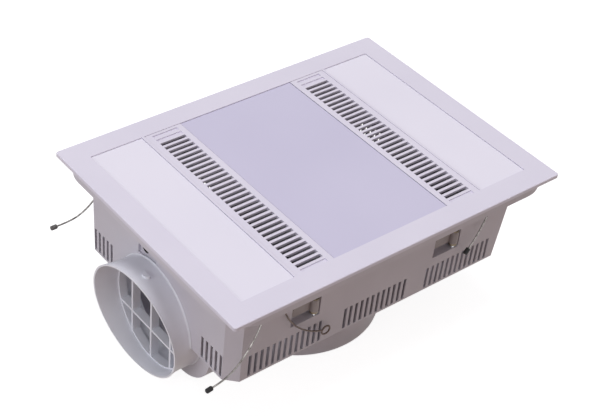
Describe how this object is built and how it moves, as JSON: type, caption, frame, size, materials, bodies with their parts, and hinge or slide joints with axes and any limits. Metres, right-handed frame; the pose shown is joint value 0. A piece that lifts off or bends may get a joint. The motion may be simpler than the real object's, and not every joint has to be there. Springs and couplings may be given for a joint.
{
  "type": "bathroom ceiling heater",
  "caption": "Recessed ceiling heater with opal light panels, a heated glass panel, intake grilles, an exhaust blower with duct spigot and swing-out clamps.",
  "frame": {"origin": "centre of the ceiling plane, where the flange's rim bears on the ceiling", "axes": "+Z out of the fascia into the room, +X along the long side away from the duct, +Y to the side opposite the hanging wire"},
  "size_m": [0.5206, 0.37, 0.211],
  "materials": {
    "fascia_plastic": "smooth white with a soft sheen",
    "housing_plastic": "fine moulded texture",
    "diffuser_plastic": "opal, satin",
    "heater_glass": "frosted glass-ceramic, opaque when cold",
    "clamp_plastic": "glass-filled, the housing's tone",
    "shroud_plastic": "moulded dark grey",
    "tray_steel": "white powder coat",
    "board_aluminium": "white solder mask on aluminium",
    "reflector_aluminium": "bright rolled",
    "lamp_quartz": "tinted quartz",
    "holder_ceramic": "matt white ceramic",
    "rail_steel": "zinc plated",
    "fan_plastic": "moulded light grey",
    "motor_steel": "grey lacquer",
    "shaft_steel": "ground",
    "bronze": "sintered",
    "rubber_black": "matt",
    "wire_steel": "bare spring steel",
    "zinc_steel": "zinc plated",
    "nut_brass": "turned",
    "terminal_plastic": "moulded, cream",
    "driver_plastic": "moulded white",
    "capacitor_plastic": "moulded grey"
  },
  "bodies": {
    "heater": {"housing": "housing_plastic", "blower_case": "housing_plastic", "clamp_pockets": "housing_plastic", "fascia_frame": "fascia_plastic", "grille_left": "fascia_plastic", "grille_right": "fascia_plastic", "light_diffuser_left": "diffuser_plastic", "light_diffuser_right": "diffuser_plastic", "heater_glass": "heater_glass", "light_tray_left": "tray_steel", "light_tray_right": "tray_steel", "light_board_left": "board_aluminium", "light_board_right": "board_aluminium", "heater_tray": "tray_steel", "heater_reflector": "reflector_aluminium", "heat_lamp_left": "lamp_quartz", "heat_lamp_right": "lamp_quartz", "lamp_holders": "holder_ceramic", "cross_rails": "rail_steel", "thermal_cutout": "zinc_steel", "fan_shroud": "shroud_plastic", "fan_motor": "motor_steel", "motor_bearing": "bronze", "motor_bushes": "rubber_black", "duct_spigot": "housing_plastic", "duct_guard": "housing_plastic", "damper_frame": "housing_plastic", "damper_pin": "shaft_steel", "cable_grommet": "rubber_black", "terminal_box": "driver_plastic", "terminal_cover": "driver_plastic", "terminal_block": "terminal_plastic", "light_driver": "driver_plastic", "motor_capacitor": "capacitor_plastic", "hanging_wire": "wire_steel", "pivot_screws": "zinc_steel"},
    "fan": {"fan_wheel": "fan_plastic", "motor_shaft": "shaft_steel"},
    "damper_front": {"damper_leaf_front": "fan_plastic"},
    "damper_rear": {"damper_leaf_rear": "fan_plastic"},
    "screw_front_left": {"clamp_screw_front_left": "zinc_steel"},
    "nut_front_left": {"clamp_nut_front_left": "nut_brass"},
    "wing_front_left": {"clamp_wing_front_left": "clamp_plastic"},
    "wire_front_left": {"hold_up_wire_front_left": "wire_steel", "wire_tip_front_left": "rubber_black"},
    "screw_front_right": {"clamp_screw_front_right": "zinc_steel"},
    "nut_front_right": {"clamp_nut_front_right": "nut_brass"},
    "wing_front_right": {"clamp_wing_front_right": "clamp_plastic"},
    "wire_front_right": {"hold_up_wire_front_right": "wire_steel", "wire_tip_front_right": "rubber_black"},
    "screw_rear_left": {"clamp_screw_rear_left": "zinc_steel"},
    "nut_rear_left": {"clamp_nut_rear_left": "nut_brass"},
    "wing_rear_left": {"clamp_wing_rear_left": "clamp_plastic"},
    "wire_rear_left": {"hold_up_wire_rear_left": "wire_steel", "wire_tip_rear_left": "rubber_black"},
    "screw_rear_right": {"clamp_screw_rear_right": "zinc_steel"},
    "nut_rear_right": {"clamp_nut_rear_right": "nut_brass"},
    "wing_rear_right": {"clamp_wing_rear_right": "clamp_plastic"},
    "wire_rear_right": {"hold_up_wire_rear_right": "wire_steel", "wire_tip_rear_right": "rubber_black"}
  },
  "joints": [
    {"name": "fan_spin", "type": "hinge", "parent": "heater", "child": "fan", "pos_m": [-0.01, 0, -0.14], "axis": [0, 0, 1], "continuous": true},
    {"name": "damper_front_swing", "type": "hinge", "parent": "heater", "child": "damper_front", "pos_m": [-0.1485, 0, -0.116], "axis": [0, 0, -1], "range_deg": [0, 75], "stiffness_Nm_per_rad": 0.01, "springref_deg": -17.19},
    {"name": "damper_rear_swing", "type": "hinge", "parent": "heater", "child": "damper_rear", "pos_m": [-0.1485, 0, -0.116], "axis": [0, 0, 1], "range_deg": [0, 75], "stiffness_Nm_per_rad": 0.01, "springref_deg": -17.19},
    {"name": "screw_front_left_turn", "type": "hinge", "parent": "heater", "child": "screw_front_left", "pos_m": [-0.106, -0.149, 0], "axis": [0, 0, -1], "range_deg": [0, 12150]},
    {"name": "nut_front_left_climb", "type": "slide", "parent": "heater", "child": "nut_front_left", "axis": [0, 0, 1], "range_m": [0, 0.027]},
    {"name": "wing_front_left_swing", "type": "hinge", "parent": "nut_front_left", "child": "wing_front_left", "pos_m": [-0.106, -0.149, -0.048], "axis": [0, 0, 1], "range_deg": [0, 90]},
    {"name": "wire_front_left_spring", "type": "hinge", "parent": "heater", "child": "wire_front_left", "pos_m": [-0.1875, -0.1586, -0.014], "axis": [0, 1, 0], "range_deg": [-40, 35], "stiffness_Nm_per_rad": 0.15},
    {"name": "screw_front_right_turn", "type": "hinge", "parent": "heater", "child": "screw_front_right", "pos_m": [0.116, -0.149, 0], "axis": [0, 0, -1], "range_deg": [0, 12150]},
    {"name": "nut_front_right_climb", "type": "slide", "parent": "heater", "child": "nut_front_right", "axis": [0, 0, 1], "range_m": [0, 0.027]},
    {"name": "wing_front_right_swing", "type": "hinge", "parent": "nut_front_right", "child": "wing_front_right", "pos_m": [0.116, -0.149, -0.048], "axis": [0, 0, 1], "range_deg": [0, 90]},
    {"name": "wire_front_right_spring", "type": "hinge", "parent": "heater", "child": "wire_front_right", "pos_m": [0.164, -0.1586, -0.014], "axis": [0, 1, 0], "range_deg": [-35, 30], "stiffness_Nm_per_rad": 0.15},
    {"name": "screw_rear_left_turn", "type": "hinge", "parent": "heater", "child": "screw_rear_left", "pos_m": [-0.106, 0.149, 0], "axis": [0, 0, -1], "range_deg": [0, 12150]},
    {"name": "nut_rear_left_climb", "type": "slide", "parent": "heater", "child": "nut_rear_left", "axis": [0, 0, 1], "range_m": [0, 0.027]},
    {"name": "wing_rear_left_swing", "type": "hinge", "parent": "nut_rear_left", "child": "wing_rear_left", "pos_m": [-0.106, 0.149, -0.048], "axis": [0, 0, -1], "range_deg": [0, 90]},
    {"name": "wire_rear_left_spring", "type": "hinge", "parent": "heater", "child": "wire_rear_left", "pos_m": [-0.1875, 0.1586, -0.014], "axis": [0, 1, 0], "range_deg": [-40, 35], "stiffness_Nm_per_rad": 0.15},
    {"name": "screw_rear_right_turn", "type": "hinge", "parent": "heater", "child": "screw_rear_right", "pos_m": [0.116, 0.149, 0], "axis": [0, 0, -1], "range_deg": [0, 12150]},
    {"name": "nut_rear_right_climb", "type": "slide", "parent": "heater", "child": "nut_rear_right", "axis": [0, 0, 1], "range_m": [0, 0.027]},
    {"name": "wing_rear_right_swing", "type": "hinge", "parent": "nut_rear_right", "child": "wing_rear_right", "pos_m": [0.116, 0.149, -0.048], "axis": [0, 0, -1], "range_deg": [0, 90]},
    {"name": "wire_rear_right_spring", "type": "hinge", "parent": "heater", "child": "wire_rear_right", "pos_m": [0.164, 0.1586, -0.014], "axis": [0, 1, 0], "range_deg": [-35, 30], "stiffness_Nm_per_rad": 0.15}
  ],
  "couplings": [
    {"joint": "screw_front_left_turn", "follows": "nut_front_left_climb", "rad_per_m": 7854},
    {"joint": "screw_front_right_turn", "follows": "nut_front_right_climb", "rad_per_m": 7854},
    {"joint": "screw_rear_left_turn", "follows": "nut_rear_left_climb", "rad_per_m": 7854},
    {"joint": "screw_rear_right_turn", "follows": "nut_rear_right_climb", "rad_per_m": 7854}
  ]
}
